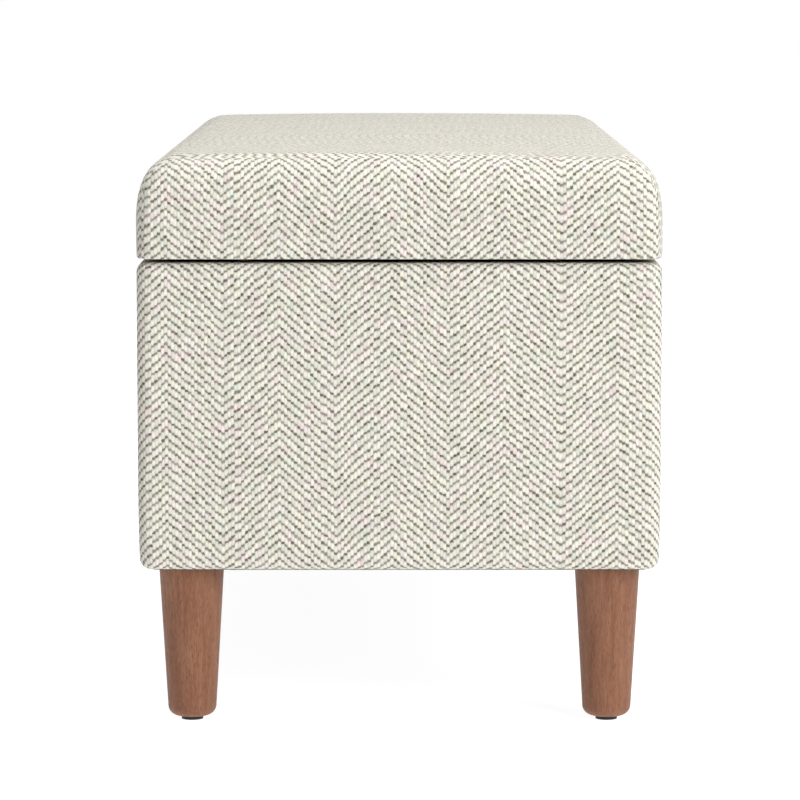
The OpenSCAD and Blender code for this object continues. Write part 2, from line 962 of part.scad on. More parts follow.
front_panel();
back_panel();
left_end_panel();
right_end_panel();
floor_panel();
floor_rails();
cross_brace();
corner_blocks();
front_padding();
back_padding();
left_end_padding();
right_end_padding();
body_cover();
lining_walls();
lining_floor();
body_dust_cover();
panel_screws();
rail_screws();
body_staples();
tee_nuts();
hanger_bolts();
leg_front_left();
leg_front_right();
leg_back_left();
leg_back_right();
glide_front_left();
glide_front_right();
glide_back_left();
glide_back_right();
hinge_left_body_leaf();
hinge_right_body_leaf();
hinge_left_pin();
hinge_right_pin();
hinge_body_screws();
strut_left_body_bracket();
strut_right_body_bracket();
strut_body_screws();
lid_board();
lid_foam();
lid_cover();
lid_dust_cover();
lid_staples();
lid_bumpers();
hinge_left_lid_leaf();
hinge_right_lid_leaf();
hinge_lid_screws();
strut_left_lid_bracket();
strut_right_lid_bracket();
strut_lid_screws();
strut_left_tube();
strut_left_tube_end();
strut_right_tube();
strut_right_tube_end();
strut_left_rod();
strut_left_rod_end();
strut_right_rod();
strut_right_rod_end();
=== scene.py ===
"""Looks of the storage bench ottoman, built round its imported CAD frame.

Everything is in metres in the frame of the CAD model: +X along the length, -Y the side that the
lid opens on, +Y the hinge side, +Z up, with the floor at Z = 0.
"""

import json
import math

import bpy
import numpy as np
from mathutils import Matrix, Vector


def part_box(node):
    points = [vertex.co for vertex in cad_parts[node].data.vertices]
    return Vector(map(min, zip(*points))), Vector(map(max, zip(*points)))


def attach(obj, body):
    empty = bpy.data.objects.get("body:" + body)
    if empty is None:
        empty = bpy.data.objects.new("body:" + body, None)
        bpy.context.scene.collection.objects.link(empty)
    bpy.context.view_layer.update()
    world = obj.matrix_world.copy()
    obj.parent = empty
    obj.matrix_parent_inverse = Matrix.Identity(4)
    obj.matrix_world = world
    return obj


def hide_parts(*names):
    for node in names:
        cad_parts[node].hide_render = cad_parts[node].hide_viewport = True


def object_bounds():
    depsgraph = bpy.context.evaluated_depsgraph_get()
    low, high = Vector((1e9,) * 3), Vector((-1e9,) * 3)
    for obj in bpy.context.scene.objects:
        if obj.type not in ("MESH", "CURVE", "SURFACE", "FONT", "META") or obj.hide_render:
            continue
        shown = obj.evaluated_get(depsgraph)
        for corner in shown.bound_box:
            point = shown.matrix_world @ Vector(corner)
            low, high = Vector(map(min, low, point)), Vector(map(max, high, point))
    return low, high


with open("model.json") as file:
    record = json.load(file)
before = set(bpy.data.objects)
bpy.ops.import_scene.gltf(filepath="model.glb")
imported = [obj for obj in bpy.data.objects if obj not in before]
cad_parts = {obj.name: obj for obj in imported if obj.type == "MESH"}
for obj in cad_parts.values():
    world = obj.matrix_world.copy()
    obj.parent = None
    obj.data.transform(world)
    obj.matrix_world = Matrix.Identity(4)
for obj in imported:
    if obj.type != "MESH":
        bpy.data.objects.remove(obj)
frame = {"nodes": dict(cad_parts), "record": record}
cad_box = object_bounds()

MM = 0.001
WEAVE_UV = "weave"

# ---------------------------------------------------------------- sizes taken from the frame

BODY_LOW, BODY_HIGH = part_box("body_cover")
LID_LOW, LID_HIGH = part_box("lid_cover")
LINING_LOW, LINING_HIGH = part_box("lining_walls")
HALF_L = float(BODY_HIGH[0])
HALF_W = float(BODY_HIGH[1])

# Soft edges of the upholstery
FABRIC_T = 1.6 * MM
BODY_CORNER_R = 12 * MM
BODY_RIM_R = 7 * MM
BODY_LOW_R = 8 * MM
BODY_TURN_UNDER = 35 * MM
BODY_DRAW_IN = 1.4 * MM
BODY_DRAW_FADE = 25 * MM
SEAM_DEPTH = 0.9 * MM

# Cushion of the lid: its roll is a superellipse, wider than it is deep at the top
LID_CORNER_R = 13.4 * MM
LID_LOW_R = 2.5 * MM
LID_TURN_UNDER = 45 * MM
HEM_W = 9 * MM
HEM_DROP = 1.0 * MM
ROLL_IN = 32 * MM
ROLL_DROP = 46 * MM
ROLL_POWER = 2.6
ROLL_STEPS = 16
CORNER_OPENING = 0.45
CROWN_W = 2.3 * MM
CROWN_L = 0.9 * MM
CROWN_FADE = 30 * MM
SEAM_ROW = 3
SEAM_HOLD = 0.9
FOAM_GAP = 0.6 * MM

# Spacing of the mesh: round the body, round the lid, and in half of an upright corner
BODY_STEP = 9 * MM
LID_STEP = 8 * MM
CORNER_STEPS = 4
# Smallest radius that a corner is drawn in to
LEAST_R = 1 * MM

# Weave of the upholstery: a twill whose rib turns over every half column
WARP_PITCH = 2.56 * MM
WARPS_PER_HALF = 17
REPEAT = 7.24 * MM
FLOAT_SHARE = 0.72
PEAK_OFFSET = 5.8 * MM


# ---------------------------------------------------------------- shader building

class Shader:
    """A material's node tree, with short calls for the patterns that the finishes are made of."""

    def __init__(self, name):
        self.material = bpy.data.materials.new(name)
        self.material.use_nodes = True
        self.tree = self.material.node_tree
        self.bsdf = self.tree.nodes["Principled BSDF"]

    def node(self, kind, **settings):
        made = self.tree.nodes.new(kind)
        for key, value in settings.items():
            setattr(made, key, value)
        return made

    def put(self, socket, value):
        """Links a node's output to the socket, or sets the socket to a plain value."""
        if isinstance(value, bpy.types.NodeSocket):
            self.tree.links.new(value, socket)
        else:
            socket.default_value = value

    def math(self, operation, *values, clamp=False):
        made = self.node("ShaderNodeMath", operation=operation, use_clamp=clamp)
        for socket, value in zip(made.inputs, values):
            self.put(socket, value)
        return made.outputs[0]

    def position(self):
        return self.node("ShaderNodeTexCoord").outputs["Object"]

    def stretched(self, vector, scale):
        """The vector with each axis multiplied by its scale."""
        made = self.node("ShaderNodeVectorMath", operation="MULTIPLY")
        self.put(made.inputs[0], vector)
        self.put(made.inputs[1], scale)
        return made.outputs[0]

    def split(self, vector):
        made = self.node("ShaderNodeSeparateXYZ")
        self.put(made.inputs[0], vector)
        return made.outputs[0], made.outputs[1], made.outputs[2]

    def join(self, x, y, z=0.0):
        made = self.node("ShaderNodeCombineXYZ")
        for socket, value in zip(made.inputs, (x, y, z)):
            self.put(socket, value)
        return made.outputs[0]

    def noise(self, vector, scale, detail=2.0, roughness=0.5):
        """Soft noise from 0 to 1 with about scale bumps a metre."""
        made = self.node("ShaderNodeTexNoise")
        self.put(made.inputs["Vector"], vector)
        self.put(made.inputs["Scale"], scale)
        self.put(made.inputs["Detail"], detail)
        self.put(made.inputs["Roughness"], roughness)
        return made.outputs[0]

    def cells(self, vector, scale):
        """Distance to the middle of the nearest of many random cells."""
        made = self.node("ShaderNodeTexVoronoi")
        self.put(made.inputs["Vector"], vector)
        self.put(made.inputs["Scale"], scale)
        return made.outputs[0]

    def chance(self, x, y):
        """A random number from 0 to 1 for each pair of whole numbers."""
        made = self.node("ShaderNodeTexWhiteNoise", noise_dimensions="3D")
        self.put(made.inputs["Vector"], self.join(x, y))
        return made.outputs["Value"]

    def span(self, value, low, high, to_low=0.0, to_high=1.0):
        """The value carried from one span to another, smoothly and held at the ends."""
        made = self.node("ShaderNodeMapRange", interpolation_type="SMOOTHSTEP")
        for socket, number in zip(made.inputs, (value, low, high, to_low, to_high)):
            self.put(socket, number)
        return made.outputs[0]

    def mix(self, share, a, b, blend="MIX"):
        """Colour a with a share of colour b over it."""
        made = self.node("ShaderNodeMix", data_type="RGBA", blend_type=blend)
        self.put(made.inputs[0], share)
        self.put(made.inputs[6], a)
        self.put(made.inputs[7], b)
        return made.outputs[2]

    def ramp(self, share, stops):
        """Colour ramp through (place, colour) stops."""
        made = self.node("ShaderNodeValToRGB")
        self.put(made.inputs[0], share)
        elements = made.color_ramp.elements
        while len(elements) < len(stops):
            elements.new(0.5)
        for element, (place, colour) in zip(elements, stops):
            element.position = place
            element.color = colour
        return made.outputs[0]

    def finish(self, colour, roughness, height=None, depth=0.0, strength=1.0, **sockets):
        """Sets the surface: its colour, roughness and bump, and any other sockets by name."""
        self.put(self.bsdf.inputs["Base Color"], colour)
        self.put(self.bsdf.inputs["Roughness"], roughness)
        if height is not None:
            bump = self.node("ShaderNodeBump")
            self.put(bump.inputs["Height"], height)
            self.put(bump.inputs["Distance"], depth)
            self.put(bump.inputs["Strength"], strength)
            self.put(self.bsdf.inputs["Normal"], bump.outputs[0])
        for key, value in sockets.items():
            self.put(self.bsdf.inputs[key.replace("_", " ")], value)
        return self.material


def rgb(red, green, blue):
    """A shader colour from 0 to 255 screen values."""
    def linear(value):
        share = value / 255
        return share / 12.92 if share <= 0.04045 else ((share + 0.055) / 1.055) ** 2.4
    return (linear(red), linear(green), linear(blue), 1.0)


# ---------------------------------------------------------------- finishes

def herringbone_cloth():
    """Cream warp floats in chevron columns, with small taupe weft dots between them, and shade painted over
    the floats' round backs, in the ditches between ribs and along the turns of the ribs.
    """
    s = Shader("herringbone_cloth")
    place = s.node("ShaderNodeUVMap", uv_map=WEAVE_UV).outputs[0]
    u, v, _ = s.split(place)
    half_column = float(WARPS_PER_HALF)
    # Hand of the cloth: threads wander a little from true, and each float lies a little askew
    drift_u = s.math("MULTIPLY_ADD", s.noise(place, 38.0), 1.6 * MM, -0.8 * MM)
    drift_v = s.math("MULTIPLY_ADD", s.noise(s.stretched(place, (1, 1.3, 1)), 55.0), 2.4 * MM, -1.2 * MM)
    askew = s.stretched(place, (1, 0.8, 1))
    drift_u = s.math("MULTIPLY_ADD", s.math("SUBTRACT", s.noise(askew, 330.0), 0.5), 2.0 * MM, drift_u)
    drift_v = s.math("MULTIPLY_ADD", s.math("SUBTRACT", s.noise(askew, 410.0), 0.5), 2.4 * MM, drift_v)
    warp = s.math("DIVIDE", s.math("ADD", u, drift_u), WARP_PITCH)
    thread = s.math("FLOOR", warp)
    across = s.math("SUBTRACT", s.math("FRACT", warp), 0.5)
    # A rib climbs by steps, one a thread, that the twist of the yarn smooths a little
    stepped = s.math("PINGPONG", thread, half_column)
    slanted = s.math("PINGPONG", s.math("SUBTRACT", warp, 0.5), half_column)
    rib = s.math("MULTIPLY_ADD", s.math("SUBTRACT", slanted, stepped), 0.3, stepped)
    slip = s.math("MULTIPLY_ADD", s.chance(thread, 7.5), 0.22, -0.11)
    along = s.math("DIVIDE", s.math("ADD", v, drift_v), REPEAT)
    along = s.math("ADD", s.math("SUBTRACT", along, s.math("DIVIDE", rib, 3.0)), slip)
    pick = s.math("FLOOR", along)
    phase = s.math("FRACT", along)
    luck = s.chance(thread, pick)
    other_luck = s.chance(s.math("ADD", thread, 31.0), pick)

    # Round back of a float: highest in the middle, falling to its sides and ends
    middle = FLOAT_SHARE / 2
    from_middle = s.math("DIVIDE", s.math("SUBTRACT", phase, middle), middle)
    length_fall = s.math("POWER", s.math("ABSOLUTE", from_middle), 2.0)
    side_fall = s.math("POWER", s.math("ABSOLUTE", s.math("MULTIPLY", across, 2.0)), 1.8)
    back = s.math("SUBTRACT", 1.0, s.math("ADD", s.math("MULTIPLY", length_fall, 0.55),
                                          s.math("MULTIPLY", side_fall, 0.36)), clamp=True)
    # Dot of dark weft in the hole between two floats, in the ditch between two ribs, which is sunk in the
    # bump and painted darker as shade
    dot_y = s.math("DIVIDE", s.math("SUBTRACT", phase, (1 + FLOAT_SHARE) / 2), 0.17)
    dot_x = s.math("DIVIDE", s.math("SUBTRACT", across, 0.05), 0.60)
    dot_far = s.math("ADD", s.math("MULTIPLY", dot_x, dot_x), s.math("MULTIPLY", dot_y, dot_y))
    dot = s.math("MULTIPLY", s.span(dot_far, 1.5, 0.05), s.span(luck, 0.0, 0.9, 0.25, 1.0))
    ditch = s.span(s.math("ABSOLUTE", dot_y), 1.3, 0.2)
    # Line where the rib turns over, sunk a little in the bump and painted a little darker as shade
    from_turn = s.math("PINGPONG", warp, half_column)
    turn = s.span(from_turn, 1.3, 0.1)
    # Each pair of columns stands a little proud of the lines on either side of it
    swell = s.span(from_turn, 0.0, half_column)

    # Yarn: fine fibres along the float, and a mixture of cream, pink, green and straw tints
    fibre = s.noise(s.stretched(place, (1, 0.22, 1)), 2600.0, 3.0, 0.7)
    patch = s.noise(place, 70.0, 3.0, 0.6)
    tint = s.ramp(s.math("MULTIPLY_ADD", s.math("SUBTRACT", luck, 0.5), 0.14, patch), [
        (0.30, rgb(226, 212, 207)), (0.42, rgb(224, 219, 210)), (0.50, rgb(219, 218, 207)),
        (0.58, rgb(224, 219, 203)), (0.68, rgb(213, 218, 207)),
    ])
    # Painted shade: the colour darkens down the sides and ends of each float's round back, following its
    # height in the bump
    shade = s.math("MULTIPLY_ADD", back, 0.40, 0.60)
    # Painted shade in the ditch between two ribs
    shade = s.math("MULTIPLY", shade, s.math("MULTIPLY_ADD", ditch, -0.27, 1.0))
    # Painted shade along the line where the rib turns over
    shade = s.math("MULTIPLY", shade, s.math("MULTIPLY_ADD", turn, -0.03, 1.0))
    shade = s.math("MULTIPLY", shade, s.math("MULTIPLY_ADD", other_luck, 0.18, 0.92))
    shade = s.math("MULTIPLY", shade, s.math("MULTIPLY_ADD", fibre, 0.34, 0.83))
    # The cream yarn tint with the painted shade and the yarn's own random tone multiplied over it
    cream = s.mix(1.0, tint, s.join(shade, shade, shade), "MULTIPLY")
    dark = s.mix(other_luck, rgb(92, 84, 74), rgb(138, 127, 112))
    colour = s.mix(dot, cream, dark)

    height = s.math("SUBTRACT", back, s.math("MULTIPLY", s.math("MAXIMUM", dot, ditch), 0.5))
    height = s.math("SUBTRACT", height, s.math("MULTIPLY", turn, 0.15))
    height = s.math("MULTIPLY_ADD", swell, 0.7, height)
    height = s.math("MULTIPLY_ADD", fibre, 0.12, height)
    return s.finish(colour, 0.92, height, 0.7 * MM, 0.75, Specular_IOR_Level=0.25,
                    Sheen_Weight=0.1, Sheen_Roughness=0.5)


def leg_wood():
    """Stained open-pore wood with its grain up the leg."""
    s = Shader("leg_wood")
    place = s.position()
    bend = s.noise(s.stretched(place, (1, 1, 0.25)), 14.0, 2.0)
    x, y, z = s.split(place)
    rings = s.join(s.math("MULTIPLY_ADD", bend, 0.010, x), s.math("MULTIPLY_ADD", bend, 0.008, y),
                   s.math("MULTIPLY", z, 0.05))
    band = s.noise(rings, 260.0, 4.0, 0.62)
    wide = s.noise(rings, 60.0, 2.0)
    colour = s.ramp(band, [
        (0.28, rgb(116, 73, 52)), (0.46, rgb(130, 85, 62)), (0.56, rgb(137, 93, 69)),
        (0.74, rgb(147, 103, 78)),
    ])
    colour = s.mix(s.span(wide, 0.35, 0.65, 0.0, 0.25), colour, rgb(122, 80, 56))
    pores = s.noise(s.stretched(place, (1, 1, 0.07)), 2300.0, 2.0, 0.6)
    pore = s.span(pores, 0.52, 0.66)
    colour = s.mix(s.math("MULTIPLY", pore, 0.6), colour, rgb(84, 48, 34))
    fine = s.noise(s.stretched(place, (1, 1, 0.03)), 3000.0, 2.0)
    colour = s.mix(s.span(fine, 0.42, 0.66, 0.0, 0.25), colour, rgb(160, 118, 90))
    height = s.math("SUBTRACT", s.math("MULTIPLY", band, 0.2), pore)
    roughness = s.math("MULTIPLY_ADD", pore, 0.2, 0.5)
    return s.finish(colour, roughness, height, 0.12 * MM, 0.6, Specular_IOR_Level=0.25,
                    Coat_Weight=0.04, Coat_Roughness=0.4)


def grained(name, colours, roughness, size, depth, stretch=(1, 1, 1), metallic=0.0, wear=0.15, **more):
    """A finish whose colour, gloss and surface all vary over grains of one size."""
    s = Shader(name)
    place = s.stretched(s.position(), stretch)
    grain = s.noise(place, 1 / size, 4.0, 0.6)
    cloud = s.noise(place, 0.12 / size, 2.0)
    share = s.math("MULTIPLY_ADD", s.math("SUBTRACT", cloud, 0.5), 0.6, grain)
    colour = s.ramp(share, [(0.32, colours[0]), (0.68, colours[1])])
    gloss = s.math("MULTIPLY_ADD", s.math("SUBTRACT", grain, 0.5), wear, roughness)
    return s.finish(colour, gloss, grain, depth, 0.6, Metallic=metallic, **more)


def zinc_steel():
    """Bright zinc plate with faint passivation colour and rolling marks."""
    s = Shader("zinc_steel")
    place = s.position()
    cloud = s.noise(place, 45.0, 3.0)
    lines = s.noise(s.stretched(place, (0.06, 1, 1)), 2400.0, 2.0)
    colour = s.ramp(cloud, [
        (0.35, rgb(176, 176, 172)), (0.5, rgb(196, 194, 186)), (0.65, rgb(186, 190, 196)),
    ])
    gloss = s.math("MULTIPLY_ADD", lines, 0.18, 0.24)
    return s.finish(colour, gloss, lines, 0.03 * MM, 0.5, Metallic=1.0)


def powder_coat():
    """Black powder coat with its orange-peel surface, rubbed a little at random."""
    s = Shader("powder_coat")
    place = s.position()
    peel = s.noise(place, 900.0, 2.0)
    rub = s.noise(place, 60.0, 4.0, 0.65)
    colour = s.ramp(rub, [(0.4, rgb(24, 24, 25)), (0.72, rgb(44, 44, 45))])
    gloss = s.span(rub, 0.35, 0.7, 0.34, 0.5)
    return s.finish(colour, gloss, peel, 0.05 * MM, 0.5)


def tube_paint():
    """Satin black paint on drawn tube, with fine draw lines along it."""
    s = Shader("tube_paint")
    place = s.position()
    lines = s.noise(s.stretched(place, (1, 0.05, 0.05)), 1800.0, 2.0)
    cloud = s.noise(place, 35.0, 3.0)
    colour = s.ramp(cloud, [(0.35, rgb(20, 20, 21)), (0.7, rgb(34, 34, 35))])
    gloss = s.math("MULTIPLY_ADD", cloud, 0.16, 0.24)
    return s.finish(colour, gloss, lines, 0.02 * MM, 0.4, Coat_Weight=0.3, Coat_Roughness=0.2)


def rod_chrome():
    """Ground and chromed rod, with a thin film of oil that dulls it in places."""
    s = Shader("rod_chrome")
    place = s.position()
    film = s.noise(place, 80.0, 3.0)
    colour = s.ramp(film, [(0.3, rgb(206, 208, 210)), (0.7, rgb(226, 227, 228))])
    gloss = s.span(film, 0.3, 0.7, 0.06, 0.2)
    return s.finish(colour, gloss, s.noise(place, 1500.0), 0.01 * MM, 0.3, Metallic=1.0)


def spun_bond():
    """Spun-bonded dust cover: a mat of fine fibres with a grid of bond points."""
    s = Shader("spun_bond")
    place = s.position()
    x, y, _ = s.split(place)
    pitch = 1.4 * MM
    row = s.math("FLOOR", s.math("DIVIDE", y, pitch))
    shift = s.math("MULTIPLY", s.math("MODULO", row, 2.0), 0.5)
    dx = s.math("SUBTRACT", s.math("FRACT", s.math("ADD", s.math("DIVIDE", x, pitch), shift)), 0.5)
    dy = s.math("SUBTRACT", s.math("FRACT", s.math("DIVIDE", y, pitch)), 0.5)
    far = s.math("ADD", s.math("MULTIPLY", dx, dx), s.math("MULTIPLY", dy, dy))
    bond = s.span(far, 0.09, 0.03)
    fibre = s.noise(s.stretched(place, (1, 0.3, 1)), 1700.0, 4.0, 0.7)
    cloud = s.noise(place, 26.0, 3.0)
    colour = s.ramp(s.math("MULTIPLY_ADD", s.math("SUBTRACT", cloud, 0.5), 0.5, fibre),
                    [(0.3, rgb(22, 22, 22)), (0.7, rgb(48, 47, 46))])
    colour = s.mix(s.math("MULTIPLY", bond, 0.5), colour, rgb(18, 18, 18))
    height = s.math("SUBTRACT", s.math("MULTIPLY", fibre, 0.5), bond)
    return s.finish(colour, s.span(bond, 0.0, 1.0, 0.85, 0.6), height, 0.18 * MM, 0.7)


def lining_cloth():
    """Plain-woven lining in warm grey, over board."""
    s = Shader("lining_cloth")
    place = s.position()
    x, y, z = s.split(place)
    pitch = 1.1 * MM
    # Threads run level and upright on every wall and both ways on the floor
    waves = []
    for run in (s.math("ADD", x, y), z, s.math("SUBTRACT", x, y)):
        waves.append(s.math("SINE", s.math("MULTIPLY", run, 2 * math.pi / pitch)))
    weave = s.math("MULTIPLY", waves[0], s.math("ADD", waves[1], s.math("MULTIPLY", waves[2], 0.6)))
    fibre = s.noise(place, 1400.0, 3.0, 0.65)
    cloud = s.noise(place, 12.0, 3.0)
    share = s.math("ADD", s.math("MULTIPLY", weave, 0.10), s.math("MULTIPLY_ADD", cloud, 0.35, fibre))
    colour = s.ramp(share, [(0.35, rgb(92, 88, 82)), (0.95, rgb(138, 133, 125))])
    height = s.math("MULTIPLY_ADD", weave, 0.25, fibre)
    return s.finish(colour, 0.9, height, 0.25 * MM, 0.6, Sheen_Weight=0.1)


def plywood():
    """Plywood: rotary-cut face grain along the length, and plies along the edges."""
    s = Shader("plywood")
    place = s.position()
    _, _, z = s.split(place)
    two_plies = 3.0 * MM
    grain = s.noise(s.stretched(place, (0.05, 1, 1)), 190.0, 4.0, 0.6)
    ply = s.math("SINE", s.math("MULTIPLY", z, 2 * math.pi / two_plies))
    share = s.math("MULTIPLY_ADD", ply, 0.07, grain)
    colour = s.ramp(share, [(0.3, rgb(196, 164, 122)), (0.5, rgb(214, 184, 142)), (0.7, rgb(226, 200, 160))])
    return s.finish(colour, 0.7, grain, 0.1 * MM, 0.5)


def chip_board():
    """Particle board: flat chips of several browns."""
    s = Shader("chip_board")
    place = s.position()
    chips = s.cells(place, 420.0)
    cloud = s.noise(place, 260.0, 4.0, 0.7)
    share = s.math("MULTIPLY_ADD", chips, 0.4, s.math("MULTIPLY", cloud, 0.7))
    colour = s.ramp(share, [
        (0.25, rgb(150, 118, 80)), (0.5, rgb(190, 158, 114)), (0.75, rgb(214, 186, 144)),
    ])
    return s.finish(colour, 0.75, cloud, 0.1 * MM, 0.5)


def foam():
    """Open-cell foam."""
    s = Shader("foam")
    place = s.position()
    cell = s.cells(place, 900.0)
    cloud = s.noise(place, 20.0, 2.0)
    colour = s.ramp(s.math("MULTIPLY_ADD", cell, 0.5, s.math("MULTIPLY", cloud, 0.5)),
                    [(0.2, rgb(214, 202, 158)), (0.7, rgb(244, 236, 204))])
    return s.finish(colour, 0.95, cell, 0.4 * MM, 0.6)


# ---------------------------------------------------------------- meshes

def piece_from(name, verts, faces, corner_uvs, material):
    """A smooth mesh object with its weave coordinates, one pair for each face corner."""
    mesh = bpy.data.meshes.new(name)
    mesh.from_pydata([tuple(p) for p in verts], [], [tuple(f) for f in faces])
    layer = mesh.uv_layers.new(name=WEAVE_UV)
    flat = np.array(corner_uvs, dtype=float).reshape(-1)
    layer.data.foreach_set("uv", flat)
    for polygon in mesh.polygons:
        polygon.use_smooth = True
    mesh.materials.append(material)
    mesh.update()
    made = bpy.data.objects.new(name, mesh)
    bpy.context.scene.collection.objects.link(made)
    return made


def apply_modifiers(piece):
    """Puts the result of every modifier into the mesh itself."""
    graph = bpy.context.evaluated_depsgraph_get()
    mesh = bpy.data.meshes.new_from_object(piece.evaluated_get(graph), depsgraph=graph)
    old = piece.data
    piece.modifiers.clear()
    piece.data = mesh
    bpy.data.meshes.remove(old)
    return piece


def spaced(start, end, target):
    """Numbers from start to end at steps close to the target, the end left out."""
    steps = max(1, round(abs(end - start) / target))
    return [start + (end - start) * k / steps for k in range(steps)]


class Loop:
    """Stations round a rounded rectangle, starting at the middle of the corner (+X, +Y).

    Each station is (side, kind, share): it lies on one of four sides, 0 = +X end, 1 = -Y front,
    2 = -X end, 3 = +Y back, going clockwise from above, each from one corner's middle to the next.
    """

    def __init__(self, half_l, half_w, radius, step, arc_steps):
        self.half = (half_l, half_w)
        self.radius = radius
        self.stations = []
        for side in range(4):
            run = (half_w if side % 2 == 0 else half_l) - radius
            for k in range(arc_steps):
                self.stations.append((side, "arc_in", k / arc_steps))
            for place in spaced(-1.0, 1.0, step / run):
                self.stations.append((side, "straight", place))
            for k in range(arc_steps):
                self.stations.append((side, "arc_out", k / arc_steps))

    def point(self, station, inset, radius):
        """Place of a station on the outline drawn in by inset, with its corners at the given radius."""
        side, kind, share = station
        half_l, half_w = self.half[0] - inset, self.half[1] - inset
        along_half, out_half = (half_w, half_l) if side % 2 == 0 else (half_l, half_w)
        run = along_half - radius
        if kind == "straight":
            along, out = share * run, out_half
        else:
            # Half of a corner's arc: in from 45 degrees to 0, or out from 0 to 45
            angle = math.radians(45 * (1 - share if kind == "arc_in" else share))
            sign = -1 if kind == "arc_in" else 1
            along = sign * (run + radius * math.sin(angle))
            out = out_half - radius + radius * math.cos(angle)
        # side 0 runs from +Y to -Y at +X; the others follow clockwise
        return [(out, -along), (-along, -out), (-out, along), (along, out)][side]

    def __len__(self):
        return len(self.stations)


def arc_points(radius, start, end, steps):
    """(cos, sin) pairs along an arc, times its radius."""
    found = []
    for k in range(steps + 1):
        angle = math.radians(start + (end - start) * k / steps)
        found.append((radius * math.cos(angle), radius * math.sin(angle)))
    return found


def lengths(points):
    """Distance along a line of points, at each of them."""
    steps = np.linalg.norm(np.diff(np.array(points, dtype=float), axis=0), axis=1)
    return np.concatenate([[0.0], np.cumsum(steps)])


def weave_at(u, v):
    """Weave coordinates that put a chevron's peak at PEAK_OFFSET from u = 0."""
    half = (WARPS_PER_HALF + 0.5) * WARP_PITCH
    return (u - PEAK_OFFSET + half, v)


def thicken(piece):
    """Gives a single layer of cloth its thickness, inwards, and smooths it once."""
    smooth = piece.modifiers.new("smooth", "SUBSURF")
    smooth.levels = smooth.render_levels = 1
    shell = piece.modifiers.new("shell", "SOLIDIFY")
    shell.thickness = FABRIC_T
    shell.offset = -1.0
    shell.use_even_offset = True
    return apply_modifiers(piece)


def ring_faces(rows, columns):
    """Faces between neighbouring rings, as (row, station, corners), each seen from outside."""
    for row in range(rows - 1):
        for k in range(columns):
            following = (k + 1) % columns
            yield row, k, (row * columns + k, row * columns + following,
                           (row + 1) * columns + following, (row + 1) * columns + k)


def body_profile():
    """Section of the body's cloth from the lining over the rim, down and under: (inset, height)."""
    low, high = float(BODY_LOW[2]), float(BODY_HIGH[2])
    arc_steps = 6
    rim_step = 3 * MM
    under_step = 4 * MM
    past_arc = 2 * MM
    rim_in = HALF_L - float(LINING_HIGH[0]) + 1.0 * MM
    side_top = high - BODY_RIM_R - past_arc
    side_bottom = low + BODY_LOW_R + past_arc
    rim_arc = arc_points(BODY_RIM_R, 90, 0, arc_steps)
    low_arc = arc_points(BODY_LOW_R, 0, -90, arc_steps)
    found = [(inset, high) for inset in spaced(rim_in, BODY_RIM_R + 1 * MM, rim_step)]
    found += [(BODY_RIM_R - a, high - BODY_RIM_R + b) for a, b in rim_arc]
    found += [(0.0, z) for z in spaced(side_top, side_bottom, BODY_STEP)]
    found += [(BODY_LOW_R - a, low + BODY_LOW_R + b) for a, b in low_arc]
    found += [(inset, low) for inset in spaced(BODY_LOW_R + under_step, BODY_TURN_UNDER, under_step)]
    found.append((BODY_TURN_UNDER, low))
    # The cloth is drawn in a little towards the lower edge that it is pulled round
    return [(inset + BODY_DRAW_IN * math.exp((low - z) / BODY_DRAW_FADE), z) for inset, z in found]


def make_body_upholstery(material):
    """The cloth round the body: over the rim, down the sides and turned under.

    One strip goes all the way round and is closed by an upright seam at a back corner.
    """
    profile = body_profile()
    down = lengths(profile)
    loop = Loop(HALF_L, HALF_W, BODY_CORNER_R, BODY_STEP, CORNER_STEPS)
    # The strip starts at the seam, on the corner between the left end and the back
    stations = sorted(loop.stations, key=lambda station: (station[0] + 1) % 4)
    outline = [loop.point(s, 0.0, BODY_CORNER_R) for s in stations]
    run = lengths(outline + outline[:1])
    run -= run[middle_station(stations)]
    columns = len(stations)

    verts = []
    for inset, z in profile:
        radius = max(BODY_CORNER_R - inset, LEAST_R)
        for station in stations:
            verts.append([*loop.point(station, inset, radius), z])
    verts = np.array(verts)
    # The seam draws the cloth in at the corner, where the sides of the strip meet
    out = np.array([-1.0, 1.0, 0.0]) / math.sqrt(2)
    for row, (inset, _) in enumerate(profile):
        if inset < BODY_CORNER_R:
            verts[row * columns] -= out * SEAM_DEPTH

    faces, uvs = [], []
    for row, k, face in ring_faces(len(profile), columns):
        faces.append(face)
        uvs += [weave_at(run[at], -down[level])
                for at, level in ((k, row), (k + 1, row), (k + 1, row + 1), (k, row + 1))]
    return thicken(piece_from("body_upholstery", verts, faces, uvs, material))


def middle_station(stations):
    """Index of the station at the middle of the +X end."""
    return min(range(len(stations)), key=lambda k: abs(stations[k][2])
               if stations[k][:2] == (0, "straight") else 1.0)


def roll_profile(shrink=0.0):
    """Section of the lid's edge from the crown outwards and down to its underside."""
    edge_top = float(LID_HIGH[2]) - CROWN_W - CROWN_L - shrink
    low = float(LID_LOW[2]) - HEM_DROP + shrink
    found = []
    for k in range(ROLL_STEPS + 1):
        angle = math.radians(90 * (1 - k / ROLL_STEPS))
        inset = ROLL_IN * (1 - math.cos(angle) ** (2 / ROLL_POWER))
        drop = ROLL_DROP * (1 - math.sin(angle) ** (2 / ROLL_POWER))
        found.append((inset, edge_top - drop))
    found += [(0.0, z) for z in spaced(found[-1][1] - 5 * MM, low + LID_LOW_R + 2 * MM, 6 * MM)]
    found += [(LID_LOW_R - a, low + LID_LOW_R + b) for a, b in arc_points(LID_LOW_R, 0, -90, 4)]
    found.append((HEM_W, low))
    return found


